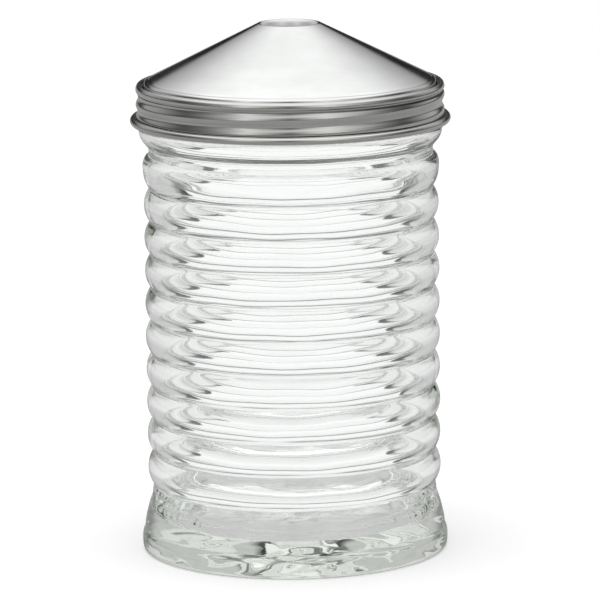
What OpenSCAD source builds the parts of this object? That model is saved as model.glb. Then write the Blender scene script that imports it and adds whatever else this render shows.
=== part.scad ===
// Sugar dispenser: a ribbed glass jar with a threaded steel lid. The lid is a cone with a pour
// hole at its top, closed from below by a flap that its counterweight holds shut while the jar
// stands and swings open when the jar is turned over.
// Origin: centre of the foot, on the table. +Z is up the jar. The flap's hinge lies at +Y.

/* [Jar] */
// Inside diameter
bore_d = 65.8; // [58:0.2:72]
// Thickness of the glass in the valleys between the ribs
wall_t = 2.4; // [1.6:0.1:4]
// Number of ribs
rib_count = 10; // [5:1:14]
// Height of one rib
rib_pitch = 8.3; // [7:0.1:10]
// Depth of the valley between two ribs
rib_depth = 1.4; // [0.8:0.1:2]
// How far the foot stands out past the valleys
foot_flare = 3; // [1.5:0.1:5]
// Height of the foot's upright band
foot_h = 4.3; // [3:0.1:8]
// Height of the flared skirt above the foot's band
skirt_h = 8; // [6:0.1:14]
// Thickness of the glass floor
floor_t = 7; // [5:0.5:12]
// Radius inside, where the floor meets the wall
floor_corner_r = 6; // [2:0.5:10]
// Height of the hollow under the floor
pushup_h = 2; // [1:0.25:3]
// Width of the flat ring that the foot stands on
foot_ring_w = 4.5; // [3:0.5:8]
// Height of the plain neck above the top rib
neck_h = 1.6; // [1:0.1:4]
// Height of the flare from the neck to the shoulder under the lid
shoulder_h = 4.7; // [3:0.1:8]
// Thickness of the glass in the finish, the neck that the lid screws onto
finish_t = 3.6; // [3:0.1:5]
// Rounding of the glass rim's two edges
rim_round_r = 1; // [0.4:0.1:1.2]

/* [Lid] */
// Thickness of the sheet steel
sheet_t = 0.5; // [0.4:0.05:0.6]
// Depth of the band's thread grooves
thread_depth = 0.6; // [0.2:0.05:0.8]
// Clearance between those grooves and the glass finish
thread_gap = 0.65; // [0.3:0.05:1]
// Height of the band, from its rolled foot to its rolled top
band_h = 8.15; // [6:0.05:9]
// Outside radius of the rolled foot
foot_roll_r = 1; // [0.9:0.05:1.5]
// Outside radius of the rolled top
top_roll_r = 0.9; // [0.6:0.05:1.1]
// Height of the cone above the band's rolled top
cone_rise = 14.85; // [10:0.05:20]
// Diameter of the pour hole
pour_d = 13; // [9:0.1:14]
// Depth of the hole's turned-in collar
collar_h = 3.2; // [2.4:0.1:3.6]
// Radius of the bends in the cone's sheet
bend_r = 0.5; // [0.4:0.05:0.6]
// Radius of the softer bend at the cone's base
base_round_r = 1.25; // [0.5:0.05:2]
// Thickness of the sealing ring
liner_t = 0.95; // [0.6:0.05:1.5]

/* [Flap] */
// Thickness of the flap's plate
flap_t = 0.5; // [0.4:0.05:0.8]
// How far the flap's disc covers the collar's edge
seat_w = 0.95; // [0.5:0.05:1.4]
// Height of the raised middle of the disc
boss_h = 0.5; // [0.3:0.1:1]
// Distance of the hinge pin from the disc's edge
hinge_reach = 2.05; // [1.8:0.05:3]
// Depth of the hinge pin below the collar's edge
hinge_drop = 4.2; // [3.8:0.1:5]
// Diameter of the hinge pin
pin_d = 1.6; // [1.2:0.1:2]
// Width of the flap's arm and tail
arm_w = 9; // [7:0.5:11]
// Length of the tail
tail_l = 15; // [13:0.5:16]
// Angle of the tail below the level
tail_angle = 60; // [55:1:65]
// Diameter of the counterweight
weight_d = 10; // [7:0.5:10]
// Thickness of the counterweight
weight_t = 5; // [3:0.5:6]
// Thickness of the hinge bracket
bracket_t = 0.8; // [0.6:0.1:1.2]
// Diameter of the rivet that holds the counterweight
rivet_d = 2.4; // [1.6:0.1:3]

/* [Hidden] */
$fn = 96;

eps = 0.01;
arc_step = 15;

// Clearances
seat_gap = 0.02;       // between pieces that are pressed together
flap_gap = 0.15;       // between the closed flap and the collar
run_gap = 0.06;        // between the pin and what turns on it
side_gap = 0.3;        // beside the flap in its bracket, and inside the band's rolled top
lid_gap = 0.3;         // between the closed lid and the shoulder

// Small forms of the glass
foot_edge_r = 1;       // rounding of the foot's outer edge
foot_step = 0.6;       // how far the skirt starts inside the foot, and above its upright band
skirt_top_w = 0.9;     // how far the straight skirt's top stands out past the valley
skirt_run_out = 4.4;   // height of the flatter stretch from there to the valley
shoulder_w = 1.2;      // how far the shoulder stands out past the finish
shoulder_edge_r = 1.05; // rounding of the shoulder's upper edge

// Small forms of the lid
base_step_h = 0.8;     // how far the cone's base bend stands above the middle of the rolled top
lead_share = [0.73, 0.5, 0.265]; // heights of the groove, ridge and groove, as shares of the band's

// Small forms of the flap and its hinge
boss_in = 0.55;        // between the collar's wall and the disc's raised middle
arm_lap = 2.5;         // how far the arm's strip laps onto the disc
arm_flat = 0.4;        // how far it runs level past the disc's edge
elbow_in = [-0.25, 0.75]; // from the tail's start to the elbow above the pin
elbow_l = 0.5;         // straight stretch of the tail before the strip bends to the elbow
tail_clear = 0.4;      // between the pin and the tail's strip
lug_rim = 1.1;         // metal round the pin in the flap's lugs
lug_h = 2.8;           // height of the lug's front edge above the pin
lug_l = 3;             // how far the lug runs down the tail
ear_rim = 1.4;         // metal round the pin in the bracket's ears
ear_nose = 1.5;        // how far the ear's front edge reaches below the collar
saddle_in = 0.15;      // from the disc's edge to the saddle's front edge
saddle_back = 4.6;     // from the pin to its rear edge
pin_head_w = 0.4;
pin_head_h = 0.5;
rivet_in = 1;          // how far the slug's edge stands past the tail's end
rivet_head_w = 0.9;
rivet_head_h = 0.6;
head_taper = 0.4;

// Jar, from the bore outward and from the foot upward
bore_r = bore_d / 2;
valley_r = bore_r + wall_t;
rib_r = valley_r + rib_depth;
foot_r = valley_r + foot_flare;
finish_r = bore_r + finish_t;
skirt_top_r = valley_r + skirt_top_w;
lowest_valley_z = foot_h + skirt_h + skirt_run_out;
top_valley_z = lowest_valley_z + rib_count * rib_pitch;
shoulder_z = top_valley_z + neck_h + shoulder_h;
shoulder_out_r = finish_r + shoulder_w;

// Lid: the band's rolled top grips the cone's flange, which presses the liner on the glass rim
foot_roll_z = shoulder_z + shoulder_edge_r + lid_gap + foot_roll_r;
top_roll_z = foot_roll_z + band_h;
flange_z = top_roll_z - top_roll_r - seat_gap - sheet_t / 2;
rim_z = flange_z - sheet_t / 2 - seat_gap - liner_t;
band_wall_r = finish_r + thread_gap + thread_depth + sheet_t / 2;
top_roll_in_r = band_wall_r + sheet_t / 2 - 2 * top_roll_r;
flange_end_r = band_wall_r - sheet_t / 2 - side_gap;
lid_top_z = top_roll_z + cone_rise + bend_r + sheet_t / 2;
crest_z = lid_top_z - bend_r - sheet_t / 2;
crest_r = pour_d / 2 + sheet_t / 2 + bend_r;
base_bend_r = top_roll_in_r - side_gap - sheet_t / 2 - base_round_r;
base_bend_z = top_roll_z + base_step_h;
base_way = [base_bend_r - crest_r, crest_z - base_bend_z];
cone_slope = atan(base_way[1] / base_way[0]) - asin((base_round_r - bend_r) / norm(base_way));
collar_z = lid_top_z - collar_h;

// Flap and hinge
disc_r = pour_d / 2 + sheet_t + seat_w;
disc_top_z = collar_z - flap_gap;
boss_r = pour_d / 2 - boss_in;
hinge_y = disc_r + hinge_reach;
hinge_z = collar_z - hinge_drop;
pin_r = pin_d / 2;
lug_r = pin_r + lug_rim;
ear_r = pin_r + ear_rim;
ear_in_x = arm_w / 2 + side_gap;
saddle_y = [disc_r + saddle_in, hinge_y + saddle_back];
tail_dir = [cos(tail_angle), -sin(tail_angle)];
tail_out = [sin(tail_angle), cos(tail_angle)];
tail_start = [hinge_y, hinge_z] + (pin_r + tail_clear + flap_t / 2) * tail_out;
tail_top = tail_start + elbow_l * tail_dir;
elbow = tail_start + elbow_in;
rivet_r = rivet_d / 2;
rivet_head_r = rivet_r + rivet_head_w;
rivet_along = tail_l - weight_d / 2 + rivet_in;

// Points on an arc about c, from angle a0 to a1
function arc(c, r, a0, a1) =
    let (n = max(1, ceil(abs(a1 - a0) / arc_step)))
    [for (i = [0:n]) let (a = a0 + (a1 - a0) * i / n) c + r * [cos(a), sin(a)]];

// Points of a smooth half wave from p to q, without p
function wave(p, q, n = 6) =
    [for (i = [1:n])
        let (s = i / n, w = (1 - cos(180 * s)) / 2)
        [p[0] + (q[0] - p[0]) * w, p[1] + (q[1] - p[1]) * s]];

// Direction square to a path at its point i, to the left of the way it runs
function across(path, i) =
    let (a = path[max(i - 1, 0)], b = path[min(i + 1, len(path) - 1)], d = b - a)
    [-d[1], d[0]] / norm(d);

// Outline of a sheet of thickness t whose middle follows the path
function sheet_outline(path, t) =
    concat([for (i = [0:len(path) - 1]) path[i] + across(path, i) * t / 2],
           [for (i = [len(path) - 1:-1:0]) path[i] - across(path, i) * t / 2]);

// Height, at radius r, of a surface that lies the distance below under the cone's sheet
function cone_under_z(r, below = 0) =
    crest_z + (bend_r - sheet_t / 2 - below) / cos(cone_slope) - (r - crest_r) * tan(cone_slope);

// Cross-section of a ring from r0 to r1 and z0 to z1
module ring_2d(r0, r1, z0, z1) {
    translate([r0, z0]) square([r1 - r0, z1 - z0]);
}

// The space under the cone's sheet, from the distance below it downward
module under_cone(below = 0) {
    rotate_extrude()
        polygon([[0, flange_z], [base_bend_r, flange_z],
                 [base_bend_r, cone_under_z(base_bend_r, below)],
                 [crest_r, cone_under_z(crest_r, below)], [0, cone_under_z(crest_r, below)]]);
}

// One rib bulges between two valleys
module rib_2d(middle_z) {
    bulge_r = (pow(rib_pitch, 2) / 8 + pow(rib_depth, 2) / 2) / rib_depth;
    translate([rib_r - bulge_r, middle_z]) circle(r = bulge_r);
}

// Foot and flared skirt below the ribs
module skirt_2d() {
    polygon([[0, 0], [foot_r - foot_edge_r, 0], [foot_r, foot_edge_r], [foot_r, foot_h],
             [foot_r - foot_step, foot_h + foot_step], [skirt_top_r, foot_h + skirt_h],
             [valley_r, lowest_valley_z], [0, lowest_valley_z]]);
    translate([foot_r - foot_edge_r, foot_edge_r]) circle(r = foot_edge_r);
}

module ribs_2d() {
    intersection() {
        union() {
            ring_2d(0, valley_r, 0, top_valley_z);
            for (i = [0:rib_count - 1]) rib_2d(lowest_valley_z + (i + 0.5) * rib_pitch);
        }
        ring_2d(0, rib_r + eps, lowest_valley_z, top_valley_z);
    }
}

// Plain neck, its flare up to the shoulder, and the finish that the lid screws onto
module neck_2d() {
    neck_top = [valley_r, top_valley_z + neck_h];
    shoulder = [shoulder_out_r, shoulder_z];
    polygon(concat([[0, top_valley_z - eps], [valley_r, top_valley_z - eps], neck_top],
                   wave(neck_top, shoulder),
                   arc(shoulder - [shoulder_edge_r, 0], shoulder_edge_r, 0, 90),
                   [[0, shoulder_z + shoulder_edge_r]]));
    ring_2d(0, finish_r, shoulder_z, rim_z - rim_round_r);
    ring_2d(0, finish_r - rim_round_r, shoulder_z, rim_z);
    translate([finish_r - rim_round_r, rim_z - rim_round_r]) circle(r = rim_round_r);
}

module cavity_2d() {
    ring_2d(0, bore_r, floor_t + floor_corner_r, rim_z + eps);
    ring_2d(0, bore_r - floor_corner_r, floor_t, rim_z);
    translate([bore_r - floor_corner_r, floor_t + floor_corner_r]) circle(r = floor_corner_r);
    // the rim's inner edge is rounded
    difference() {
        ring_2d(bore_r - eps, bore_r + rim_round_r, rim_z - rim_round_r, rim_z + eps);
        translate([bore_r + rim_round_r, rim_z - rim_round_r]) circle(r = rim_round_r);
    }
}

// Shallow dome pressed up under the floor
module pushup_2d() {
    half_w = foot_r - foot_edge_r - foot_ring_w;
    dome_r = (pow(half_w, 2) + pow(pushup_h, 2)) / (2 * pushup_h);
    intersection() {
        translate([0, pushup_h - dome_r]) circle(r = dome_r);
        ring_2d(0, foot_r, -eps, pushup_h + eps);
    }
}

module glass_jar() {
    color([0.86, 0.93, 0.91, 0.45])
    rotate_extrude()
        difference() {
            union() {
                skirt_2d();
                ribs_2d();
                neck_2d();
            }
            cavity_2d();
            pushup_2d();
        }
}

// Sealing ring between the glass rim and the cone's flange
module rim_liner() {
    color([0.93, 0.92, 0.88])
    rotate_extrude() ring_2d(bore_r + side_gap, finish_r, rim_z, rim_z + liner_t);
}

// Threaded band: its top is rolled in over the cone's flange, its foot is rolled out
module screw_band() {
    roll_r = top_roll_r - sheet_t / 2;
    curl_r = foot_roll_r - sheet_t / 2;
    wall_top = [band_wall_r, top_roll_z];
    flange_foot = [band_wall_r, flange_z - sheet_t / 2];
    groove_top = [band_wall_r - thread_depth, foot_roll_z + lead_share[0] * band_h];
    ridge = [band_wall_r, foot_roll_z + lead_share[1] * band_h];
    groove_low = [band_wall_r - 0.8 * thread_depth, foot_roll_z + lead_share[2] * band_h];
    wall_foot = [band_wall_r, foot_roll_z];
    path = concat(arc(wall_top - [roll_r, 0], roll_r, 225, 0), [flange_foot],
                  wave(flange_foot, groove_top), wave(groove_top, ridge),
                  wave(ridge, groove_low), wave(groove_low, wall_foot),
                  arc(wall_foot + [curl_r, 0], curl_r, 195, 480));
    color([0.72, 0.72, 0.71])
    rotate_extrude() polygon(sheet_outline(path, sheet_t));
}

// Cone with its turned-in collar, and the flange that the band's rolled top holds
module cone_top() {
    path = concat([[crest_r - bend_r, collar_z]],
                  arc([crest_r, crest_z], bend_r, 180, 90 - cone_slope),
                  arc([base_bend_r, base_bend_z], base_round_r, 90 - cone_slope, 0),
                  arc([base_bend_r + base_round_r + bend_r, flange_z + bend_r],
                      bend_r, 180, 270),
                  [[flange_end_r, flange_z]]);
    color([0.80, 0.81, 0.81])
    rotate_extrude() polygon(sheet_outline(path, sheet_t));
}

// Plate of thickness t square to X with its middle at x; its outline's first axis is Y
module side_plate(x, t) {
    translate([x - t / 2, 0, 0]) rotate([90, 0, 90]) linear_extrude(t) children();
}

// Round bar along X, centred on the hinge
module hinge_bar(r, l) {
    translate([0, hinge_y, hinge_z]) rotate([0, 90, 0]) cylinder(h = l, r = r, center = true);
}

// Web of the saddle, which lies against the cone
module saddle_web() {
    intersection() {
        difference() {
            under_cone();
            under_cone(bracket_t);
        }
        translate([-ear_in_x - eps, saddle_y[0], hinge_z])
            cube([2 * (ear_in_x + eps), saddle_y[1] - saddle_y[0], lid_top_z - hinge_z]);
    }
}

// Saddle welded under the cone, with two ears for the pin
module flap_bracket() {
    color([0.68, 0.68, 0.68])
    difference() {
        union() {
            saddle_web();
            intersection() {
                under_cone();
                for (side = [-1, 1])
                    side_plate(side * (ear_in_x + bracket_t / 2), bracket_t) {
                        translate([hinge_y, hinge_z]) circle(r = ear_r);
                        polygon([[hinge_y - ear_r, hinge_z], [hinge_y + ear_r, hinge_z],
                                 [saddle_y[1], cone_under_z(saddle_y[1])],
                                 [saddle_y[1], lid_top_z], [saddle_y[0], lid_top_z],
                                 [saddle_y[0], collar_z - ear_nose]]);
                    }
            }
        }
        hinge_bar(pin_r + seat_gap, 4 * ear_in_x);
    }
}

// Wire pin, upset to a head at each end
module hinge_pin() {
    half_l = ear_in_x + bracket_t + seat_gap;
    color([0.6, 0.6, 0.6]) {
        hinge_bar(pin_r, 2 * (half_l + eps));
        for (side = [-1, 1])
            translate([side * (half_l + pin_head_h / 2), 0, 0]) hinge_bar(pin_r + pin_head_w, pin_head_h);
    }
}

// Raised middle of the flap's disc
module boss() {
    boss_top_z = disc_top_z + boss_h;
    rotate_extrude()
        polygon([[0, boss_top_z - flap_t], [0, boss_top_z], [boss_r - boss_h, boss_top_z],
                 [boss_r, disc_top_z], [boss_r, disc_top_z - flap_t / 2],
                 [boss_r - boss_h, boss_top_z - flap_t]]);
}

// Disc that closes the collar, arm over the pin, two lugs and the tail, bent from one sheet
module flap_plate() {
    disc_z = disc_top_z - flap_t / 2;
    strip = [[disc_r - arm_lap, disc_z], [disc_r + arm_flat, disc_z], elbow, tail_top,
             tail_start + tail_l * tail_dir];
    color([0.78, 0.78, 0.77])
    difference() {
        union() {
            translate([0, 0, disc_top_z - flap_t]) cylinder(h = flap_t, r = disc_r);
            boss();
            side_plate(0, arm_w) polygon(sheet_outline(strip, flap_t));
            for (side = [-1, 1])
                side_plate(side * (arm_w - flap_t) / 2, flap_t) {
                    translate([hinge_y, hinge_z]) circle(r = lug_r);
                    polygon([[hinge_y - lug_r, hinge_z], [hinge_y - lug_r, hinge_z + lug_h],
                             elbow, tail_top, tail_start + lug_l * tail_dir]);
                }
        }
        // the raised middle is hollow below
        translate([0, 0, disc_top_z - flap_t - eps]) cylinder(h = boss_h + eps, r = boss_r - boss_h);
        hinge_bar(pin_r + run_gap, 2 * arm_w);
        on_tail() cylinder(h = 4 * flap_t, r = rivet_r + seat_gap, center = true);
    }
}

// Places children on the tail at the rivet, with +Z out of the tail's outer face
module on_tail() {
    at = tail_start + rivet_along * tail_dir;
    translate([0, at[0], at[1]]) rotate([-tail_angle, 0, 0]) children();
}

// Slug under the tail that keeps the flap shut
module counterweight() {
    color([0.55, 0.55, 0.56])
    on_tail()
        translate([0, 0, -flap_t / 2 - weight_t])
            difference() {
                cylinder(h = weight_t, r = weight_d / 2);
                translate([0, 0, -eps]) cylinder(h = weight_t + 2 * eps, r = rivet_r + seat_gap);
            }
}

module weight_rivet() {
    under_z = -flap_t / 2 - weight_t;
    color([0.66, 0.66, 0.66])
    on_tail() {
        translate([0, 0, under_z - eps]) cylinder(h = weight_t + flap_t + 2 * eps, r = rivet_r);
        translate([0, 0, flap_t / 2])
            cylinder(h = rivet_head_h, r1 = rivet_head_r, r2 = rivet_head_r - head_taper);
        translate([0, 0, under_z - rivet_head_h])
            cylinder(h = rivet_head_h, r1 = rivet_head_r - head_taper, r2 = rivet_head_r);
    }
}

glass_jar();
rim_liner();
screw_band();
cone_top();
flap_bracket();
hinge_pin();
flap_plate();
counterweight();
weight_rivet();
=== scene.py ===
"""Looks of a ribbed glass sugar dispenser with a threaded steel lid and a gravity flap.

Shapes are worked out in millimetres and written to their meshes in metres, each in its place in
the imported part's frame. The jar stands on z = 0 and the lid's axis is +Z.
"""

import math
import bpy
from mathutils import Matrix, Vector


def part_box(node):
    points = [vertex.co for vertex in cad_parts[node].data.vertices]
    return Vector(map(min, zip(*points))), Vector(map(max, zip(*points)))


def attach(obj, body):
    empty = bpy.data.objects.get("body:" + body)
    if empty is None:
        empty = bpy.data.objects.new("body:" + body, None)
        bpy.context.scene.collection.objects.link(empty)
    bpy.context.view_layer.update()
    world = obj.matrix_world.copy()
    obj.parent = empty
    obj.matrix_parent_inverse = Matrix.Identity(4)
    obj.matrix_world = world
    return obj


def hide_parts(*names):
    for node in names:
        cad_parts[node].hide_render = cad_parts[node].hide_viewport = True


bl_info = {
    "name": "Ribbed sugar dispenser",
    "version": (1, 0, 0),
    "blender": (4, 5, 0),
    "location": "3D View > Sidebar > Dispenser",
    "description": "Builds a ribbed glass jar, its threaded steel lid and the flap inside it",
    "category": "Add Mesh",
}

import bpy
import numpy as np
from bpy.props import FloatProperty, FloatVectorProperty, IntProperty, PointerProperty
from mathutils import Matrix, Vector

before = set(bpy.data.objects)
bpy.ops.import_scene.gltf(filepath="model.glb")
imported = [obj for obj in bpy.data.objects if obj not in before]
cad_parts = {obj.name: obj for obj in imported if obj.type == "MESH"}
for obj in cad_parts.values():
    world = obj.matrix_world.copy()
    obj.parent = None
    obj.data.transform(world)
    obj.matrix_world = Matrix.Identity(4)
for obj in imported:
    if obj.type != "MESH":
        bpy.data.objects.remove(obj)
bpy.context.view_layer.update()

MM = 0.001
TURN = 2 * math.pi

# Places of the CAD's pieces, in millimetres, that the settings below start from
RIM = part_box("rim_liner")[0][2] / MM
FOOT_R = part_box("glass_jar")[1][0] / MM
BAND_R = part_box("screw_band")[1][0] / MM
BAND_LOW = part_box("screw_band")[0][2] / MM
LID_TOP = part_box("cone_top")[1][2] / MM


# Outlines, as lists of (radius, height) in millimetres


def arc(centre, radius, start, end, steps):
    """Points on an arc about centre, between two angles in degrees."""
    return [
        (centre[0] + radius * math.cos(a), centre[1] + radius * math.sin(a))
        for a in np.radians(np.linspace(start, end, steps))
    ]


def line(start, end, step, last=False):
    """Points from start to end about a step apart, with end itself only if last."""
    count = max(1, math.ceil(math.dist(start, end) / step))
    share = np.linspace(0, 1, count + 1)[: count + bool(last)]
    return [tuple(np.array(start) + (np.array(end) - start) * s) for s in share]


def curve(points, step):
    """A smooth curve through the points, with its own points about a step apart."""
    p = np.array(points, float)
    p = np.vstack([2 * p[0] - p[1], p, 2 * p[-1] - p[-2]])
    out = []
    for a, b, c, d in zip(p, p[1:], p[2:], p[3:]):
        for t in np.linspace(0, 1, max(2, math.ceil(math.dist(b, c) / step)), endpoint=False):
            out.append(tuple((2 * b + (c - a) * t + (2 * a - 5 * b + 4 * c - d) * t * t
                              + (3 * b - a - 3 * c + d) * t ** 3) / 2))
    return out + [tuple(p[-2])]


def sheet(path, thickness, edge_steps=5):
    """Closed outline of a sheet whose middle follows the path, with rounded cut edges."""
    p = np.array(path, float)
    way = np.gradient(p, axis=0)
    way /= np.linalg.norm(way, axis=1)[:, None]
    side = np.stack([way[:, 1], -way[:, 0]], axis=1) * thickness / 2

    def edge(at, start):
        a = math.degrees(math.atan2(start[1], start[0]))
        return arc(at, thickness / 2, a, a + 180, edge_steps + 2)[1:-1]

    return (list(map(tuple, p + side)) + edge(p[-1], side[-1])
            + list(map(tuple, (p - side)[::-1])) + edge(p[0], -side[0]))


def fade(value, low, high):
    """Rises smoothly from 0 at low to 1 at high."""
    t = np.clip((value - low) / (high - low), 0, 1)
    return t * t * (3 - 2 * t)


# Meshes


def lathe(outline, segments, closed=False, shift=None):
    """Points and faces of an outline turned about Z. Its ends may lie on the axis.

    The outline runs with its outside on its right. shift(angle, radius, height) returns what to
    add to radius and height at each point.
    """
    p = np.array(outline, float)
    poles = [i for i in (0, len(p) - 1) if not closed and p[i, 0] < 1e-6]
    rings = [i for i in range(len(p)) if i not in poles]
    angle = np.arange(segments) * TURN / segments
    radius = np.repeat(p[rings, 0][:, None], segments, 1)
    height = np.repeat(p[rings, 1][:, None], segments, 1)
    if shift:
        more_r, more_z = shift(np.broadcast_to(angle, radius.shape), radius, height)
        radius, height = radius + more_r, height + more_z
    points = np.stack([radius * np.cos(angle), radius * np.sin(angle), height], axis=-1)
    points = list(map(tuple, points.reshape(-1, 3)))
    start = np.arange(len(rings) if closed else len(rings) - 1) * segments
    after = (start + segments) % (len(rings) * segments)
    turn = np.arange(segments)
    nxt = (turn + 1) % segments
    faces = np.stack([start[:, None] + turn, start[:, None] + nxt,
                      after[:, None] + nxt, after[:, None] + turn], axis=-1)
    faces = faces.reshape(-1, 4).tolist()
    for pole in poles:
        top = len(points)
        points.append((0, 0, p[pole, 1]))
        base = 0 if pole == 0 else (len(rings) - 1) * segments
        for j in range(segments):
            pair = (base + (j + 1) % segments, base + j)
            faces.append((top, *(pair if pole == 0 else pair[::-1])))
    return points, faces


def mesh_object(name, points, faces, sharp_angle=40):
    """An object of the points, given in millimetres, shaded smooth but for its sharp edges."""
    mesh = bpy.data.meshes.new(name)
    mesh.from_pydata((np.array(points) * MM).tolist(), [], faces)
    mesh.validate()
    mesh.shade_smooth()
    mesh.set_sharp_from_angle(angle=math.radians(sharp_angle))
    obj = bpy.data.objects.new(name, mesh)
    bpy.context.scene.collection.objects.link(obj)
    return obj


def bake_modifiers(obj, sharp_angle=40):
    """Turns the object with its modifiers into a plain mesh."""
    graph = bpy.context.evaluated_depsgraph_get()
    made = bpy.data.meshes.new_from_object(obj.evaluated_get(graph), depsgraph=graph)
    old = obj.data
    obj.modifiers.clear()
    obj.data = made
    made.name = obj.name
    bpy.data.meshes.remove(old)
    made.shade_smooth()
    made.set_sharp_from_angle(angle=math.radians(sharp_angle))


def dress(obj, body, node, finish):
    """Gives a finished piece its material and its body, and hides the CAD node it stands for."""
    obj.data.materials.clear()
    obj.data.materials.append(finish)
    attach(obj, body)
    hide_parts(node)


# Nodes


class Wire:
    """A node's output that Python's operators work on by adding Math nodes."""

    def __init__(self, tree, socket):
        self.tree, self.socket = tree, socket

    def math(self, operation, *others):
        sockets = dict(enumerate((self, *others)))
        return Maker(self.tree).node("ShaderNodeMath", {"operation": operation}, sockets)

    def _flipped(self, operation, other):
        sockets = {0: other, 1: self}
        return Maker(self.tree).node("ShaderNodeMath", {"operation": operation}, sockets)

    def __add__(self, other):
        return self.math("ADD", other)

    def __sub__(self, other):
        return self.math("SUBTRACT", other)

    def __mul__(self, other):
        return self.math("MULTIPLY", other)

    def __truediv__(self, other):
        return self.math("DIVIDE", other)

    def __pow__(self, other):
        return self.math("POWER", other)

    def __rsub__(self, other):
        return self._flipped("SUBTRACT", other)

    def __rtruediv__(self, other):
        return self._flipped("DIVIDE", other)

    __radd__, __rmul__ = __add__, __mul__

    def ramp(self, low, high, smooth=True):
        """0 below low and 1 above high, or the other way round when low is the higher one."""
        settings = {"interpolation_type": "SMOOTHSTEP" if smooth else "LINEAR"}
        sockets = {"Value": self, "From Min": min(low, high), "From Max": max(low, high),
                   "To Min": float(low > high), "To Max": float(low < high)}
        return Maker(self.tree).node("ShaderNodeMapRange", settings, sockets)


class Maker:
    """Adds nodes to one tree."""

    def __init__(self, tree):
        self.tree = tree

    def node(self, kind, settings=None, sockets=None, output=0):
        """A node of a kind, with its settings made first, then its sockets' values or links."""
        made = self.tree.nodes.new(kind)
        for name, value in (settings or {}).items():
            if name == "stops":
                self._set_stops(made.color_ramp, value)
            else:
                setattr(made, name, value)
        for key, value in (sockets or {}).items():
            if isinstance(value, Wire):
                self.tree.links.new(value.socket, made.inputs[key])
            else:
                made.inputs[key].default_value = value
        return Wire(self.tree, made.outputs[output]) if made.outputs else made

    @staticmethod
    def _set_stops(ramp, stops):
        while len(ramp.elements) < len(stops):
            ramp.elements.new(0.5)
        for element, (at, value) in zip(ramp.elements, stops):
            element.position = at
            element.color = (*([value] * 3 if np.isscalar(value) else value), 1)

    def output(self, wire, name):
        """Another output of the node that a wire comes from."""
        return Wire(self.tree, wire.socket.node.outputs[name])

    def split(self, vector):
        """The three parts of a vector."""
        x = self.node("ShaderNodeSeparateXYZ", sockets={0: vector})
        return x, self.output(x, "Y"), self.output(x, "Z")

    def join(self, x=0.0, y=0.0, z=0.0):
        return self.node("ShaderNodeCombineXYZ", sockets={0: x, 1: y, 2: z})

    def scaled(self, vector, scale):
        return self.node("ShaderNodeMapping", sockets={"Vector": vector, "Scale": scale})

    def noise(self, vector, scale, detail=2.0, rough=0.5):
        sockets = {"Vector": vector, "Scale": scale, "Detail": detail, "Roughness": rough}
        return self.node("ShaderNodeTexNoise", sockets=sockets)

    def mix_colour(self, factor, a, b):
        """Colour a where factor is 0, and b where it is 1."""
        sockets = {0: factor, 6: (*a, 1) if isinstance(a, tuple) else a,
                   7: (*b, 1) if isinstance(b, tuple) else b}
        return self.node("ShaderNodeMix", {"data_type": "RGBA"}, sockets, 2)

    def bump(self, height, strength, distance):
        sockets = {"Height": height, "Strength": strength, "Distance": distance}
        return self.node("ShaderNodeBump", sockets=sockets)


def new_material(name):
    """An empty material with its maker, its object coordinates and the turned ones."""
    material = bpy.data.materials.new(name)
    material.use_nodes = True
    material.node_tree.nodes.clear()
    make = Maker(material.node_tree)
    place = make.node("ShaderNodeTexCoord", output="Object")
    return material, make, place


def close_material(make, surface, volume=None):
    sockets = {"Surface": surface}
    if volume:
        sockets["Volume"] = volume
    make.node("ShaderNodeOutputMaterial", sockets=sockets)


def around(make, place):
    """Radius, angle and height of a point about the jar's axis."""
    x, y, z = make.split(place)
    radius = (x * x + y * y).math("SQRT")
    return radius, y.math("ARCTAN2", x), z


def geometry_tree(name, inputs):
    """An empty geometry tree with named inputs, its maker and the input wires."""
    tree = bpy.data.node_groups.new(name, "GeometryNodeTree")
    face = tree.interface
    face.new_socket("Geometry", in_out="INPUT", socket_type="NodeSocketGeometry")
    for title, kind in inputs.items():
        face.new_socket(title, in_out="INPUT", socket_type="NodeSocket" + kind)
    face.new_socket("Geometry", in_out="OUTPUT", socket_type="NodeSocketGeometry")
    make = Maker(tree)
    first = make.node("NodeGroupInput")
    return tree, make, {t: make.output(first, t) for t in ("Geometry", *inputs)}


def close_geometry(make, geometry, material):
    """Ends a tree in Realize Instances and Set Material."""
    real = make.node("GeometryNodeRealizeInstances", sockets={"Geometry": geometry})
    sockets = {"Geometry": real, "Material": material}
    painted = make.node("GeometryNodeSetMaterial", sockets=sockets)
    make.node("NodeGroupOutput", sockets={"Geometry": painted})


def add_tree(obj, tree, values):
    """Puts a geometry tree on an object, with its inputs set by their identifiers."""
    modifier = obj.modifiers.new(tree.name, "NODES")
    modifier.node_group = tree
    for item in tree.interface.items_tree:
        if item.in_out == "INPUT" and item.name in values:
            modifier[item.identifier] = values[item.name]
    return modifier


def outward_shift(make, wires, amount, weight_name):
    """Moves points out from the Z axis by amount times their own weight."""
    weight = make.node("GeometryNodeInputNamedAttribute", {"data_type": "FLOAT"},
                       {"Name": weight_name})
    x, y, _ = make.split(make.node("GeometryNodeInputPosition"))
    radius = (x * x + y * y).math("SQRT")
    by = amount * weight / radius.math("MAXIMUM", 1e-6)
    sockets = {"Geometry": wires["Geometry"], "Offset": make.join(x * by, y * by)}
    return make.node("GeometryNodeSetPosition", sockets=sockets)


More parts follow.
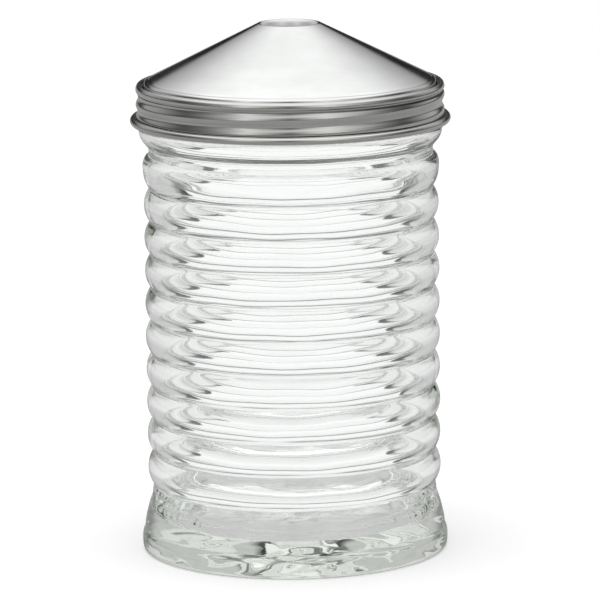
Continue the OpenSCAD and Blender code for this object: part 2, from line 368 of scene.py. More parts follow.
def rib_tree():
    """Rounded ribs, one above the other, with a fillet in each valley."""
    tree, make, wires = geometry_tree(
        "rounded_ribs", {"Pitch": "Float", "Depth": "Float", "Fillet": "Float",
                         "First Valley": "Float", "Material": "Material"})
    pitch, depth, fillet = wires["Pitch"], wires["Depth"], wires["Fillet"]
    _, _, z = make.split(make.node("GeometryNodeInputPosition"))
    off = (((z - wires["First Valley"]) / pitch).math("FRACT") - 0.5).math("ABSOLUTE") * pitch
    past = (off - (pitch / 2 - fillet)).math("MAXIMUM", 0.0)
    off = off - past * past / (2 * fillet)
    half = pitch / 2 - fillet / 2
    bulge = (half * half + depth * depth) / (2 * depth)
    rise = depth - bulge + (bulge * bulge - off * off).math("SQRT")
    close_geometry(make, outward_shift(make, wires, rise, "rib"), wires["Material"])
    return tree


def thread_tree():
    """A helical thread: rounded turns that climb by the lead on each turn about Z."""
    tree, make, wires = geometry_tree(
        "helical_thread", {"Lead": "Float", "Depth": "Float", "Height at X": "Float",
                           "Sharpness": "Float", "Material": "Material"})
    x, y, z = make.split(make.node("GeometryNodeInputPosition"))
    turns = (z - wires["Height at X"]) / wires["Lead"] - y.math("ARCTAN2", x) / TURN
    wave = ((turns * TURN).math("COSINE") * 0.5 + 0.5) ** wires["Sharpness"]
    moved = outward_shift(make, wires, wave * wires["Depth"], "thread")
    close_geometry(make, moved, wires["Material"])
    return tree


def weigh(obj, name, weights):
    """Stores a weight for each point of a mesh."""
    layer = obj.data.attributes.new(name, "FLOAT", "POINT")
    layer.data.foreach_set("value", np.asarray(weights, dtype=np.float32))


def places_of(obj):
    """X, Y and Z of each point of a mesh, in metres."""
    places = np.empty(len(obj.data.vertices) * 3)
    obj.data.vertices.foreach_get("co", places)
    return places.reshape(-1, 3)


def points_of(obj):
    """Radius, angle and height, in millimetres, of each point of a mesh."""
    x, y, z = (places_of(obj) / MM).T
    return np.hypot(x, y), np.arctan2(y, x), z


def push_out(obj, amounts):
    """Moves each point of a mesh away from the Z axis by its own amount in millimetres."""
    places = places_of(obj)
    radius = np.maximum(np.hypot(places[:, 0], places[:, 1]), MM)
    places[:, :2] *= (1 + amounts * MM / radius)[:, None]
    obj.data.vertices.foreach_set("co", places.ravel())
    obj.data.update()


# Settings that a user would change


def length(name, text, default):
    """A length in millimetres."""
    return FloatProperty(name=name, description=text, default=default, min=0, precision=2,
                         subtype="NONE")


def colour(name, text, default):
    return FloatVectorProperty(name=name, description=text, default=default, size=3,
                               min=0, max=1, subtype="COLOR")


class JarSettings(bpy.types.PropertyGroup):
    """Sizes and colour of the glass, in millimetres."""

    bore_r: length("Bore radius", "Inside radius of the jar, in mm", 32.9)
    valley_r: length("Valley radius", "Radius of the valleys between the ribs, in mm", 35.3)
    rib_depth: length("Rib depth", "How far a rib stands out past the valleys, in mm", 1.4)
    rib_pitch: length("Rib pitch", "Height of one rib, in mm", 8.3)
    rib_fillet: length("Valley fillet", "Half width of the rounding in a valley, in mm", 0.42)
    rib_count: IntProperty(name="Ribs", description="Number of ribs", default=10, min=1)
    first_valley_z: length("First valley", "Height of the lowest valley, in mm", 16.7)
    foot_r: length("Foot radius", "Radius of the foot, in mm", FOOT_R)
    ring_r: length("Bearing ring", "Inside radius of the flat ring under the foot, in mm", 32.8)
    floor_t: length("Floor", "Thickness of the glass floor, in mm", 7)
    floor_round_r: length("Floor rounding", "Radius where the wall meets the floor, in mm", 6)
    finish_r: length("Finish radius", "Radius of the neck inside the lid, in mm", 36.5)
    rim_z: length("Rim height", "Height of the glass rim, in mm", RIM)
    waist: length("Waist", "How far the inside narrows behind the shoulder, in mm", 2)
    segments: IntProperty(name="Segments", description="Faces round the jar", default=276, min=32)
    tint: colour("Glass tint", "Colour that thick glass takes", (0.81, 0.84, 0.79))


class LidSettings(bpy.types.PropertyGroup):
    """Sizes and colours of the lid, in millimetres."""

    sheet_t: length("Sheet", "Thickness of the sheet steel, in mm", 0.5)
    wall_r: length("Band radius", "Radius of the middle of the band's sheet, in mm", BAND_R - 1.75)
    foot_roll_r: length("Foot roll", "Outside radius of the rolled foot, in mm", 1)
    foot_roll_z: length("Foot roll height", "Height of the foot roll's middle, in mm", BAND_LOW + 1)
    top_roll_r: length("Top roll", "Half the width of the oval rolled top, in mm", 0.9)
    top_roll_h: length("Top roll's own height", "From its lowest point to its top, in mm", 2.5)
    top_roll_z: length("Top roll height", "Height of the rolled top's middle, in mm", 116.2)
    lead: length("Thread lead", "Climb of the thread in one turn, in mm", 3.8)
    thread_depth: length("Thread depth", "Depth of the band's thread grooves, in mm", 0.6)
    groove_z: length("Groove height", "Height of a groove on the +X side, in mm", 112.35)
    pour_r: length("Pour hole", "Radius of the pour hole, in mm", 6.5)
    collar_z: length("Collar", "Height of the turned-in collar's lower edge, in mm", 128.9)
    crest_z: length("Crest", "Height of the bend's middle at the pour hole, in mm", LID_TOP - 0.75)
    lip_w: length("Lip width", "Width of the pour hole's funnel edge, in mm", 0.8)
    lip_h: length("Lip depth", "Depth of the pour hole's funnel edge, in mm", 1.7)
    cone_gap: length("Crevice", "Gap between the cone and the top roll, in mm", 0.22)
    base_z: length("Cone base", "Height of the middle of the bend at the cone's base, in mm", 117.3)
    base_bend_r: length("Base bend", "Middle radius of that bend, in mm", 0.7)
    flange_z: length("Flange", "Height of the middle of the cone's flange, in mm", 115.33)
    cone_steel: colour("Cone steel", "Colour of the polished cone", (0.80, 0.81, 0.80))
    # painted shade: the band is polished steel like the cone, given a darker tone that stands in for
    # the darker reflections on its upright wall
    band_tone_painted_darker: colour("Band steel", "Colour of the rolled band", (0.66, 0.66, 0.64))


class FlapSettings(bpy.types.PropertyGroup):
    """Colours of the flap and what carries it."""

    sheet_steel: colour("Flap steel", "Colour of the flap's satin sheet", (0.62, 0.62, 0.61))
    wire_steel: colour("Pin steel", "Colour of the drawn wire", (0.55, 0.55, 0.54))
    slug_steel: colour("Weight steel", "Colour of the tumbled slug", (0.42, 0.42, 0.43))


class StageSettings(bpy.types.PropertyGroup):
    """Camera and light."""

    distance: FloatProperty(name="Distance", description="From the jar's axis to the camera",
                            default=1.2, unit="LENGTH")
    height: FloatProperty(name="Height", description="Height of the camera",
                          default=0.288, unit="LENGTH")
    aim_height: FloatProperty(name="Aim", description="Height that the camera looks at",
                              default=0.0624, unit="LENGTH")
    aside: FloatProperty(name="Aside", description="How far right of the axis it stands and looks",
                         default=0.00187, unit="LENGTH")
    lens: FloatProperty(name="Lens", description="Focal length on a 36 mm sensor", default=293.6)
    roll: FloatProperty(name="Roll", description="How far the camera leans to its right",
                        default=math.radians(0.68), subtype="ANGLE")
    floor_r: FloatProperty(name="Floor", description="Radius of the floor", default=0.9,
                           unit="LENGTH")
    reflections: IntProperty(name="Reflections", default=60, min=1,
                             description="Most reflections of a ray inside the glass")


# Finishes


def glass_finish(settings):
    """Clear pressed glass, with mould waviness and a faint green in its thick parts."""
    material, make, place = new_material("pressed_glass")
    radius, angle, z = around(make, place)
    waves = make.noise(make.join(angle * 1.2, z * 60.0, radius * 40.0), 1.0, 2.0)
    grain = make.noise(place, 900.0, 2.0)
    height = waves * 0.8 + grain * 0.02
    smudge = make.noise(place, 55.0, 4.0, 0.6).ramp(0.52, 0.75)
    surface = make.node("ShaderNodeBsdfPrincipled", sockets={
        "Base Color": make.mix_colour(smudge, (0.985, 0.993, 0.989), (0.97, 0.98, 0.975)),
        "Roughness": smudge * 0.012 + 0.002,
        "IOR": 1.52,
        "Transmission Weight": 1.0,
        "Normal": make.bump(height, 0.25, 0.0004),
    })
    volume = make.node("ShaderNodeVolumeAbsorption", sockets={
        "Color": (*settings.tint, 1), "Density": 15.0})
    close_material(make, surface, volume)
    return material


def spun_steel_finish(name, tone, lines, shine, crevices):
    """Polished sheet steel with fine lines round the axis, smears, and painted shade in its
    crevices.

    Each crevice is a radius and a height in millimetres, and how far round them the colour is
    painted dark as shade. The steel's colour is painted a little brighter towards the rim, as
    painted light, and the steel is hazy on the pour hole's punched edge.
    """
    material, make, place = new_material(name)
    radius, angle, z = around(make, place)
    across = make.join(angle * 0.35, (radius + z * 0.7) * lines)
    spun = make.noise(across, 1.0, 3.0, 0.7)
    broad = make.noise(place, 42.0, 3.0)
    smear = make.noise(make.join(angle * 1.6, radius * 90.0, z * 90.0), 1.0, 4.0, 0.6)
    specks = make.node("ShaderNodeTexVoronoi", sockets={"Vector": place, "Scale": 420.0})
    specks = specks.ramp(0.10, 0.04) * broad.ramp(0.45, 0.6)
    # painted light: the steel's colour is raised from 2 % to 10 % brighter between 18 mm and 34 mm
    # radius, standing in for brighter reflections towards the rim
    rim_brightened_tone = make.node("ShaderNodeVectorMath", {"operation": "SCALE"},
                      {0: tone, "Scale": radius.ramp(0.018, 0.034) * 0.08 + 1.02})
    dull = tuple(c * 0.9 for c in tone)
    worn = make.mix_colour(smear.ramp(0.3, 0.75) * 0.6 + specks * 0.4, rim_brightened_tone, dull)
    # painted shade: round each crevice the colour is darkened to near black and the roughness raised,
    # where shade falls in the gap
    crevice_shade = 0.0
    for at_radius, at_height, reach in crevices:
        away = ((radius - at_radius * MM) ** 2.0 + (z - at_height * MM) ** 2.0).math("SQRT")
        away = away - (broad - 0.5) * (reach * MM)
        crevice_shade = away.ramp(reach * MM, reach * 0.45 * MM) + crevice_shade
    haze = radius.ramp(0.0074, 0.0069)
    rough = smear.ramp(0.4, 0.8) * 0.05 + spun * 0.04 + crevice_shade * 0.25 + haze * 0.2
    surface = make.node("ShaderNodeBsdfPrincipled", sockets={
        # painted shade: the near-black colour of the crevices
        "Base Color": make.mix_colour(crevice_shade.math("MINIMUM", 0.92), worn, (0.05, 0.05, 0.045)),
        "Metallic": 1.0 - haze * 0.5,
        "Roughness": rough + shine,
        "Normal": make.bump(spun * 0.6 + broad * 2.0 + specks * 0.5, 0.12, 0.00012),
    })
    close_material(make, surface)
    return material


def satin_steel_finish(tone):
    """Stamped sheet with a straight grain along Y and darker patches of handling."""
    material, make, place = new_material("satin_stamped_steel")
    grain = make.noise(make.scaled(place, (3200.0, 60.0, 3200.0)), 1.0, 3.0, 0.6)
    patch = make.noise(place, 160.0, 4.0)
    surface = make.node("ShaderNodeBsdfPrincipled", sockets={
        "Base Color": make.mix_colour(patch.ramp(0.4, 0.7), tone, tuple(c * 0.82 for c in tone)),
        "Metallic": 1.0,
        "Roughness": grain * 0.14 + patch * 0.1 + 0.2,
        "Normal": make.bump(grain, 0.3, 0.00004),
    })
    close_material(make, surface)
    return material


def wire_steel_finish(tone):
    """Drawn wire, with die lines along X and bright worn spots."""
    material, make, place = new_material("drawn_wire")
    lines = make.noise(make.scaled(place, (90.0, 2600.0, 2600.0)), 1.0, 2.0)
    worn = make.noise(place, 700.0, 3.0).ramp(0.5, 0.7)
    surface = make.node("ShaderNodeBsdfPrincipled", sockets={
        "Base Color": make.mix_colour(worn, tone, tuple(c * 1.2 for c in tone)),
        "Metallic": 1.0,
        "Roughness": lines * 0.15 + 0.18,
        "Normal": make.bump(lines, 0.3, 0.00003),
    })
    close_material(make, surface)
    return material


def slug_finish(tone):
    """A turned slug, tumbled: dull, with fine dents and darker hollows."""
    material, make, place = new_material("tumbled_slug")
    dents = make.node("ShaderNodeTexVoronoi", {"feature": "SMOOTH_F1"},
                      {"Vector": place, "Scale": 1500.0})
    cloud = make.noise(place, 420.0, 4.0)
    surface = make.node("ShaderNodeBsdfPrincipled", sockets={
        "Base Color": make.mix_colour(cloud.ramp(0.35, 0.7), tone, tuple(c * 0.7 for c in tone)),
        "Metallic": 1.0,
        "Roughness": cloud * 0.25 + 0.25,
        "Normal": make.bump(dents, 0.5, 0.00005),
    })
    close_material(make, surface)
    return material


def rubber_finish():
    """Matt white rubber with a fine moulded grain."""
    material, make, place = new_material("white_sealing_rubber")
    grain = make.noise(place, 2500.0, 2.0)
    stain = make.noise(place, 60.0, 3.0).ramp(0.5, 0.8)
    surface = make.node("ShaderNodeBsdfPrincipled", sockets={
        "Base Color": make.mix_colour(stain, (0.84, 0.83, 0.79), (0.76, 0.75, 0.70)),
        "Roughness": grain * 0.15 + 0.6,
        "Normal": make.bump(grain, 0.3, 0.00004),
    })
    close_material(make, surface)
    return material


# Pieces


def top_valley_z(jar):
    """Height of the valley above the top rib, in millimetres."""
    return jar.first_valley_z + jar.rib_count * jar.rib_pitch


def jar_outline(jar):
    """Outline of the glass from the middle of its under side, up outside, down inside."""
    valley, foot, ring_r = jar.valley_r, jar.foot_r, jar.ring_r
    first, top = jar.first_valley_z, top_valley_z(jar)
    under = curve([(0, 2), (8, 1.9), (16, 1.55), (24, 0.95), (ring_r - 1.2, 0.3),
                   (ring_r, 0.08), (ring_r + 1, 0.02)], 2.2)
    ring = line((ring_r + 1.3, 0), (foot - 1.1, 0), 0.45)
    skirt = curve([(foot - 0.95, 0), (foot - 0.4, 0.28), (foot - 0.12, 0.85), (foot, 2),
                   (foot, 3.1), (foot - 0.15, 4.2), (foot - 0.45, 5), (foot - 0.66, 5.8),
                   (foot - 0.8, 7.1), (foot - 1.1, 8.6), (foot - 1.45, 10), (foot - 1.8, 11.3),
                   (valley + 0.8, 12.5), (valley + 0.45, 13.5), (valley + 0.27, 14.6),
                   (valley + 0.16, 15.7), (valley, first)], 0.55)
    closer_at_valleys = [0, 0.018, 0.04, 0.07, 0.115, 0.18, 0.26, 0.35, 0.45,
                         0.55, 0.65, 0.74, 0.82, 0.885, 0.93, 0.96, 0.982]
    ribs = [(valley, first + (i + share) * jar.rib_pitch)
            for i in range(jar.rib_count) for share in closer_at_valleys]
    neck = curve([(valley, top), (valley - 0.02, top + 0.7), (valley, top + 1.5),
                  (valley + 0.2, top + 2.1), (valley + 0.6, top + 2.7), (valley + 1.1, top + 3.3),
                  (valley + 1.6, top + 3.9), (valley + 1.98, top + 4.6), (valley + 2.25, top + 5.4),
                  (valley + 2.37, top + 6.2), (valley + 2.25, top + 6.85),
                  (valley + 1.8, top + 7.25), (valley + 1.35, top + 7.35)], 0.55)
    finish = curve([(jar.finish_r + 0.05, top + 7.4), (jar.finish_r, top + 7.8),
                    (jar.finish_r, jar.rim_z - 1.4), (jar.finish_r, jar.rim_z - 1)], 0.4)
    rim = (arc((jar.finish_r - 1, jar.rim_z - 1), 1, 8, 90, 7)
           + arc((jar.bore_r + 1, jar.rim_z - 1), 1, 90, 180, 7))
    corner = (jar.bore_r - jar.floor_round_r, jar.floor_t + jar.floor_round_r)
    inner = line((jar.bore_r, jar.rim_z - 1.4), (jar.bore_r, corner[1] + 0.3), 2.4)
    floor = arc(corner, jar.floor_round_r, 0, -90, 10)
    floor += line((corner[0] - 0.6, jar.floor_t), (0, jar.floor_t), 2.6, last=True)
    return under + ring + skirt[:-1] + ribs + neck + finish + rim + inner + floor


def jar_unevenness(jar):
    """How the pressed glass departs from a true turned shape, and its stippled bearing ring."""
    top, inside_r = top_valley_z(jar), jar.bore_r

    def soft_waves(angle, height):
        return (np.sin(2 * angle + height * 0.09) + 0.7 * np.sin(3 * angle - height * 0.13 + 1)
                + 0.5 * np.sin(5 * angle + height * 0.21 + 2) + 0.5 * np.sin(height * 0.31)
                + 0.35 * np.sin(9 * angle - height * 0.37 + 0.4)
                + 0.22 * np.sin(14 * angle + height * 0.62 + 3))

    def chill_ripples(x, y):
        return (0.10 * np.sin(0.33 * x + 1) * np.sin(0.27 * y + 2)
                + 0.07 * np.sin(0.52 * x - 0.41 * y) + 0.045 * np.sin(0.8 * y + 0.3 * x))

    def corner_ripples(angle):
        return (0.08 * np.sin(11 * angle + 1) + 0.06 * np.sin(17 * angle + 2)
                + 0.04 * np.sin(29 * angle))

    def shift(angle, radius, height):
        inner = fade(radius, inside_r + 0.9, inside_r + 0.1)
        inside = inner * fade(height, 8, 16) * fade(height, 112, 104)
        outside = (fade(radius, inside_r + 1.4, inside_r + 2.2) * fade(height, 14, 22)
                   * fade(height, 104, 98))
        waist = inner * fade(height, top, top + 6.5) * fade(height, top + 12, top + 7.5)
        ring = (fade(radius, jar.ring_r + 0.5, jar.ring_r + 1.3)
                * fade(radius, jar.foot_r - 0.9, jar.foot_r - 1.5) * (height < 0.2))
        stipple = (0.5 - 0.5 * np.cos(69 * angle)) * ring * 0.22
        on_floor = (height > 5) & (height < 7.5)
        dip = -0.35 * fade(radius, 28, 8) * on_floor
        chilled = (fade(radius, 30, 22) * on_floor
                   - 0.7 * fade(radius, jar.ring_r - 1, jar.ring_r - 4.5) * (height < 2.2))
        chill = chill_ripples(radius * np.cos(angle), radius * np.sin(angle)) * chilled
        corner = (corner_ripples(angle) * inner * fade(radius, 25, 28)
                  * fade(height, 6.8, 8) * fade(height, 15, 10))
        uneven = soft_waves(angle, height) * (0.08 * inside - 0.03 * outside)
        return uneven + jar.waist * waist + corner, stipple + dip + chill - corner

    return shift


def top_rib_blunting(jar, z):
    """How much further out than a round rib the top rib's upper side stands."""
    down = np.clip(top_valley_z(jar) - z, 0, None)
    return 0.62 * fade(down, 0, 0.55) * fade(down, 4.6, 0.7)


class DISPENSER_OT_jar(bpy.types.Operator):
    """Makes the ribbed glass jar"""

    bl_idname = "dispenser.jar"
    bl_label = "Glass jar"

    def execute(self, context):
        jar, lid = context.scene.dispenser_jar, context.scene.dispenser_lid
        points, faces = lathe(jar_outline(jar), jar.segments, shift=jar_unevenness(jar))
        obj = mesh_object("ribbed_jar", points, faces)
        glass = glass_finish(jar)
        radius, _, z = points_of(obj)
        outer = (radius > jar.valley_r - 0.4) & (z > jar.first_valley_z) & (z < top_valley_z(jar))
        weigh(obj, "rib", outer)
        below_rim = jar.rim_z - z
        weigh(obj, "thread", (np.abs(radius - jar.finish_r) < 0.1)
              * fade(below_rim, 5.81, 4.51) * fade(below_rim, 1.11, 2.21))
        add_tree(obj, rib_tree(), {
            "Pitch": jar.rib_pitch * MM, "Depth": jar.rib_depth * MM,
            "Fillet": jar.rib_fillet * MM, "First Valley": jar.first_valley_z * MM,
            "Material": glass})
        add_tree(obj, thread_tree(), {
            "Lead": lid.lead * MM, "Depth": lid.thread_depth * MM, "Sharpness": 2.2,
            "Material": glass,
            "Height at X": (lid.groove_z + lid.lead / 2) * MM})
        bake_modifiers(obj, 60)
        push_out(obj, top_rib_blunting(jar, z) * outer)
        dress(obj, "jar", "glass_jar", glass)
        return {"FINISHED"}


class DISPENSER_OT_liner(bpy.types.Operator):
    """Makes the sealing ring"""

    bl_idname = "dispenser.liner"
    bl_label = "Sealing ring"

    def execute(self, context):
        jar = context.scene.dispenser_jar
        thick, edge = 0.95, 0.25
        inner, outer = jar.bore_r + 0.35 + edge, jar.finish_r - 0.05 - edge
        low, high = jar.rim_z + edge, jar.rim_z + thick - edge
        outline = (arc((outer, low), edge, -90, 0, 5) + arc((outer, high), edge, 0, 90, 5)
                   + arc((inner, high), edge, 90, 180, 5) + arc((inner, low), edge, 180, 270, 5))
        obj = mesh_object("sealing_ring", *lathe(outline, 160, closed=True))
        dress(obj, "liner", "rim_liner", rubber_finish())
        return {"FINISHED"}


def band_path(lid):
    """Middle of the band's sheet, from inside the oval top roll down to the rolled-out foot."""
    top_r, foot_r = lid.top_roll_r - lid.sheet_t / 2, lid.foot_roll_r - lid.sheet_t / 2
    tall = (lid.top_roll_h - lid.sheet_t) / (2 * top_r)
    roll = [(r, lid.top_roll_z + tall * z)
            for r, z in arc((lid.wall_r - top_r, 0), top_r, 200, 0, 26)]
    wall = line((lid.wall_r, lid.top_roll_z - 0.13), (lid.wall_r, lid.foot_roll_z + 0.1), 0.14)
    return roll + wall + arc((lid.wall_r + foot_r, lid.foot_roll_z), foot_r, 180, 500, 34)


class DISPENSER_OT_band(bpy.types.Operator):
    """Makes the lid's threaded band with its rolled edges"""

    bl_idname = "dispenser.band"
    bl_label = "Threaded band"

    def execute(self, context):
        lid = context.scene.dispenser_lid
        t, outside = lid.sheet_t, lid.wall_r + lid.sheet_t / 2
        obj = mesh_object("threaded_band", *lathe(sheet(band_path(lid), t), 240, closed=True))
        radius, _, z = points_of(obj)
        weigh(obj, "thread", (np.abs(radius - lid.wall_r) < t / 2 + 0.02)
              * fade(z, lid.foot_roll_z + 0.5, lid.foot_roll_z + 3.6)
              * fade(z, lid.top_roll_z - 0.1, lid.top_roll_z - 0.8))
        # Where painted shade darkens the band: above the foot roll, under the top roll and inside it
        crevices = [(outside, lid.foot_roll_z + 0.85, 0.45),
                    (outside - 0.3, lid.top_roll_z - 1.1, 0.4),
                    (lid.wall_r - 2 * lid.top_roll_r + 0.1, lid.top_roll_z - 0.3, 0.5)]
        # painted shade: the band takes its darker tone, not the cone's, for the shade on its wall
        finish = spun_steel_finish("band_steel_painted_darker", tuple(lid.band_tone_painted_darker), 2600.0, 0.15, crevices)
        add_tree(obj, thread_tree(), {
            "Lead": lid.lead * MM, "Depth": -lid.thread_depth * MM, "Sharpness": 1.0,
            "Height at X": lid.groove_z * MM, "Material": finish})
        bake_modifiers(obj)
        dress(obj, "lid", "screw_band", finish)
        return {"FINISHED"}


def cone_wall_r(lid):
    """Radius of the middle of the cone's short upright wall, inside the band's top roll."""
    return lid.wall_r - 2 * lid.top_roll_r - lid.cone_gap


def beaded_side(start, end, slope, depth=0.1, before=0.55, width=0.32):
    """The cone's straight side from start to end, with a faint groove a little before its end."""
    side = [p for p in line(start, end, 0.9)[1:] if math.dist(p, end) > 2]
    side += line(side[-1], end, 0.14)[1:]
    out = np.array([math.sin(math.radians(slope)), math.cos(math.radians(slope))])
    dips = [depth * math.exp(-((math.dist(p, end) - before) / width) ** 2) for p in side]
    return [tuple(np.array(p) - out * dip) for p, dip in zip(side, dips)]


def cone_path(lid):
    """Middle of the cone's sheet, from the collar's lower edge over the lip to the flange."""
    bend, base, wall_r = 0.5, lid.base_bend_r, cone_wall_r(lid)
    crest = (lid.pour_r + lid.sheet_t / 2 + lid.lip_w, lid.crest_z)
    foot = (wall_r - base, lid.base_z)
    run, fall = foot[0] - crest[0], crest[1] - foot[1]
    slope = math.degrees(math.atan2(fall, run) - math.asin((base - bend) / math.hypot(run, fall)))
    wider, deeper = lid.lip_w / bend, lid.lip_h / bend
    lip = [(crest[0] + r * (wider if r < 0 else 1),
            crest[1] + bend + (h - bend) * (deeper if r < 0 else 1))
           for r, h in arc((0, 0), bend, 180, 90 - slope, 20)]
    lower = arc(foot, base, 90 - slope, 0, 14)
    tuck = (wall_r + bend, lid.flange_z + bend)
    return (line((crest[0] - lid.lip_w, lid.collar_z + 0.2), lip[0], 0.3)
            + lip + beaded_side(lip[-1], lower[0], slope) + lower
            + line(lower[-1], (wall_r, tuck[1]), 0.3)[1:] + arc(tuck, bend, 180, 270, 8)
            + [(tuck[0] + 0.35, lid.flange_z), (lid.wall_r - lid.sheet_t - 0.3, lid.flange_z)])


class DISPENSER_OT_cone(bpy.types.Operator):
    """Makes the lid's cone with its pour hole and collar"""

    bl_idname = "dispenser.cone"
    bl_label = "Cone with the pour hole"

    def execute(self, context):
        lid = context.scene.dispenser_lid
        obj = mesh_object("lid_cone", *lathe(sheet(cone_path(lid), lid.sheet_t), 240, closed=True))
        # Where painted shade darkens the cone: the crevice by its flange
        crevices = [(cone_wall_r(lid) + 0.3, lid.flange_z + 0.7, 0.7)]
        finish = spun_steel_finish("polished_cone_steel", tuple(lid.cone_steel), 3400.0, 0.09, crevices)
        dress(obj, "lid", "cone_top", finish)
        return {"FINISHED"}


class DISPENSER_OT_flap(bpy.types.Operator):
    """Finishes the flap, its weight, its pin and its bracket"""

    bl_idname = "dispenser.flap"
    bl_label = "Flap and hinge"

    def execute(self, context):
        flap = context.scene.dispenser_flap
        satin = satin_steel_finish(tuple(flap.sheet_steel))
        wire = wire_steel_finish(tuple(flap.wire_steel))
        slug = slug_finish(tuple(flap.slug_steel))
        for node, finish in {"flap_bracket": satin, "flap_plate": satin, "hinge_pin": wire,
                             "weight_rivet": wire, "counterweight": slug}.items():
            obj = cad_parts[node]
            obj.data.materials.clear()
            obj.data.materials.append(finish)
        return {"FINISHED"}


# Stage


def backdrop(x, y, spread):
    """Whether (x, y) lies on a white card behind the object, on the card's dark edge or past it.

    The card widens with the distance behind the object, from a half width of spread.
    """
    widening = 0.112
    past = (x.math("ABSOLUTE") - y * widening - spread) / (y.math("ABSOLUTE") + 0.02)
    behind = y.ramp(0.0, 0.02)
    white = past.ramp(0.012, -0.012) * behind
    strip = past.ramp(-0.006, 0.004) * past.ramp(0.044, 0.028) * behind
    return white, strip, past.ramp(0.04, 0.10)


def ray_kinds(make):
    """1 for camera rays, for mirrored rays and for rays that left glass, each 0 for the others."""
    ray = make.node("ShaderNodeLightPath")
    seen = make.output(ray, "Is Camera Ray")
    through = make.output(ray, "Is Transmission Ray")
    return seen, make.output(ray, "Is Glossy Ray") * (1.0 - through), through


def floor_finish():
    """A pale floor that the camera sees as white, and metal and glass as the photo's table."""
    material, make, place = new_material("pale_floor")
    x, y, _ = make.split(place)
    radius = (x * x + y * y).math("SQRT")
    far = radius.ramp(0.08, 0.5)
    card_level, edge_dark = 1.08, 0.82
    grain = make.noise(place, 30.0, 3.0)
    diffuse = make.node("ShaderNodeBsdfDiffuse", sockets={
        "Color": make.mix_colour(grain, (0.80, 0.80, 0.80), (0.82, 0.82, 0.82))})
    seen, metal, through = ray_kinds(make)
    white, strip, _ = backdrop(x, y, 0.024)
    glow = make.node("ShaderNodeEmission", sockets={
        "Color": (1, 1, 1, 1), "Strength": seen * 0.26 + through * 0.1})
    lit = make.node("ShaderNodeAddShader", sockets={0: diffuse, 1: glow})
    in_glass = 0.92 - far * 0.16
    in_glass = (in_glass + (card_level - in_glass) * white) * (1.0 - strip * edge_dark)
    level = metal * (0.26 + far * 0.14) + through * in_glass
    table = make.node("ShaderNodeEmission", sockets={"Color": (1, 1, 1, 1), "Strength": level})
    share = metal * (0.85 + far * 0.15) + through * (0.45 + far * 0.55)
    both = make.node("ShaderNodeMixShader", sockets={0: share, 1: lit, 2: table})
    close_material(make, both)
    return material


def sky():
    """White behind the object, and a studio of soft light and dark flags for metal and glass."""
    world = bpy.data.worlds.new("studio")
    world.use_nodes = True
    world.node_tree.nodes.clear()
    make = Maker(world.node_tree)
    x, y, z = make.split(make.node("ShaderNodeTexCoord", output="Generated"))
    side = x.math("ARCTAN2", 0.0 - y) * (180 / math.pi)
    height = z * 0.5 + 0.5
    card_level, edge_dark, diffuse = 1.08, 0.82, 0.9
    seen, metal, through = ray_kinds(make)

    def stepped(stops, at):
        ramp = make.node("ShaderNodeValToRGB", {"stops": stops}, {"Fac": at})
        return make.node("ShaderNodeRGBToBW", sockets={0: ramp})

    def by_height(steps):
        return stepped([(math.sin(math.radians(a)) * 0.5 + 0.5, v) for a, v in steps], height)

    below_card_top = z.ramp(0.26, 0.20)
    white, strip, beside = backdrop(x, y, 0.0)
    white, strip = white * below_card_top, strip * below_card_top
    beside = beside * z.ramp(0.42, 0.32) * z.ramp(-0.05, 0.0) * y.ramp(0.3, 0.6)
    on_metal = by_height([(-90, 0.45), (-2, 0.38), (-0.5, 0.30), (1.0, 0.05), (4.5, 0.015),
                          (14.0, 0.015), (16.2, 0.14), (17.6, 0.30), (22, 0.42), (28, 0.54),
                          (33, 0.66), (38, 0.80), (45, 0.95), (56, 1.14), (90, 1.14)])
    in_glass = by_height([(-90, 0.80), (-1, 0.76), (2, 0.45), (5, 0.26), (18, 0.22), (22, 0.55),
                          (30, 0.9), (50, 1.15), (62, 1.5), (90, 1.5)])
    steps = [(-180, 0.5), (-150, 0.5), (-120, 0.35), (-92, 0.07), (-70, 0.16), (-50, 0.40),
             (-36, 0.95), (-22, 0.55), (0, 0.12), (14, 0.55), (30, 0.95), (46, 0.6), (62, 0.36),
             (80, 0.16), (100, 0.05), (120, 0.35), (150, 0.6), (180, 0.6)]
    round_about = stepped([(a / 360 + 0.5, v) for a, v in steps], side / 360 + 0.5)
    low = z.ramp(0.07, 0.13) * z.ramp(0.86, 0.42) * side.math("ABSOLUTE").ramp(152.0, 138.0)
    on_metal = on_metal + (round_about - on_metal) * low
    in_glass = in_glass + (0.66 - in_glass) * beside
    in_glass = (in_glass + (card_level - in_glass) * white) * (1.0 - strip * edge_dark)
    level = seen + metal * on_metal + through * in_glass + (1.0 - seen - metal - through) * diffuse
    colour_of_sky = make.node("ShaderNodeBackground",
                              sockets={"Color": (1, 1, 1, 1), "Strength": level})
    make.node("ShaderNodeOutputWorld", sockets={"Surface": colour_of_sky})
    return world


def make_floor(stage):
    outline = [(stage.floor_r / MM * share, 0) for share in (1, 0.3, 0.1, 0)]
    floor = mesh_object("floor", *lathe(outline, 64))
    floor.data.materials.append(floor_finish())


def make_softbox(place):
    """A wide lamp that lights the object from above and shows in nothing."""
    light = bpy.data.lights.new("overhead_softbox", "AREA")
    light.shape, light.size, light.size_y, light.energy = "RECTANGLE", 0.9, 0.7, 3.0
    lamp = bpy.data.objects.new("overhead_softbox", light)
    turn = place.to_track_quat("Z", "Y").to_matrix().to_4x4()
    lamp.matrix_world = Matrix.Translation(place) @ turn
    lamp.visible_camera = lamp.visible_glossy = lamp.visible_transmission = False
    bpy.context.scene.collection.objects.link(lamp)


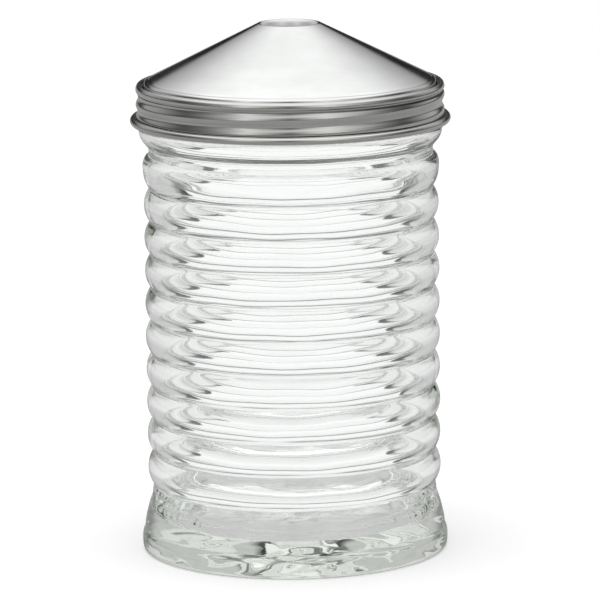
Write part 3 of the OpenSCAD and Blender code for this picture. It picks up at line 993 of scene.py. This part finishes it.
def make_camera(stage):
    """The photo's viewpoint, a little above the lid and looking down at the jar's middle."""
    data = bpy.data.cameras.new("photo_view")
    data.sensor_width, data.lens = 36, stage.lens
    data.clip_start, data.clip_end = 0.05, 20
    camera = bpy.data.objects.new("photo_view", data)
    place = Vector((stage.aside, -stage.distance, stage.height))
    aim = Vector((stage.aside, 0, stage.aim_height))
    turn = (aim - place).to_track_quat("-Z", "Y").to_matrix().to_4x4()
    lean = Matrix.Rotation(-stage.roll, 4, "Z")
    camera.matrix_world = Matrix.Translation(place) @ turn @ lean
    bpy.context.scene.collection.objects.link(camera)
    return camera


class DISPENSER_OT_stage(bpy.types.Operator):
    """Makes the floor, the light and the camera"""

    bl_idname = "dispenser.stage"
    bl_label = "Floor, light and camera"

    def execute(self, context):
        scene, stage = context.scene, context.scene.dispenser_stage
        scene.view_settings.view_transform = "Standard"
        # Rays that stay long in the ring of glass come out black at the default limits
        cycles = scene.cycles
        cycles.transmission_bounces = cycles.glossy_bounces = stage.reflections
        cycles.max_bounces = stage.reflections + 4
        scene.world = sky()
        make_floor(stage)
        make_softbox(Vector((-0.08, -0.12, 1.1)))
        scene.camera = make_camera(stage)
        return {"FINISHED"}


class DISPENSER_PT_panel(bpy.types.Panel):
    """Lists the pieces in the 3D view's sidebar"""

    bl_label = "Dispenser"
    bl_idname = "DISPENSER_PT_panel"
    bl_space_type = "VIEW_3D"
    bl_region_type = "UI"
    bl_category = "Dispenser"

    def draw(self, context):
        for operator in OPERATORS:
            self.layout.operator(operator.bl_idname)
        for name in SETTINGS:
            group = getattr(context.scene, name)
            for key in group.__annotations__:
                self.layout.prop(group, key)


SETTINGS = {"dispenser_jar": JarSettings, "dispenser_lid": LidSettings,
            "dispenser_flap": FlapSettings, "dispenser_stage": StageSettings}
OPERATORS = (DISPENSER_OT_stage, DISPENSER_OT_jar, DISPENSER_OT_liner, DISPENSER_OT_band,
             DISPENSER_OT_cone, DISPENSER_OT_flap)
CLASSES = (*SETTINGS.values(), *OPERATORS, DISPENSER_PT_panel)


def register():
    for made in CLASSES:
        bpy.utils.register_class(made)
    for name, group in SETTINGS.items():
        setattr(bpy.types.Scene, name, PointerProperty(type=group))


def unregister():
    for name in SETTINGS:
        delattr(bpy.types.Scene, name)
    for made in reversed(CLASSES):
        bpy.utils.unregister_class(made)


def main():
    register()
    for piece in ("stage", "jar", "liner", "band", "cone", "flap"):
        getattr(bpy.ops.dispenser, piece)()


if __name__ == "__main__":
    main()
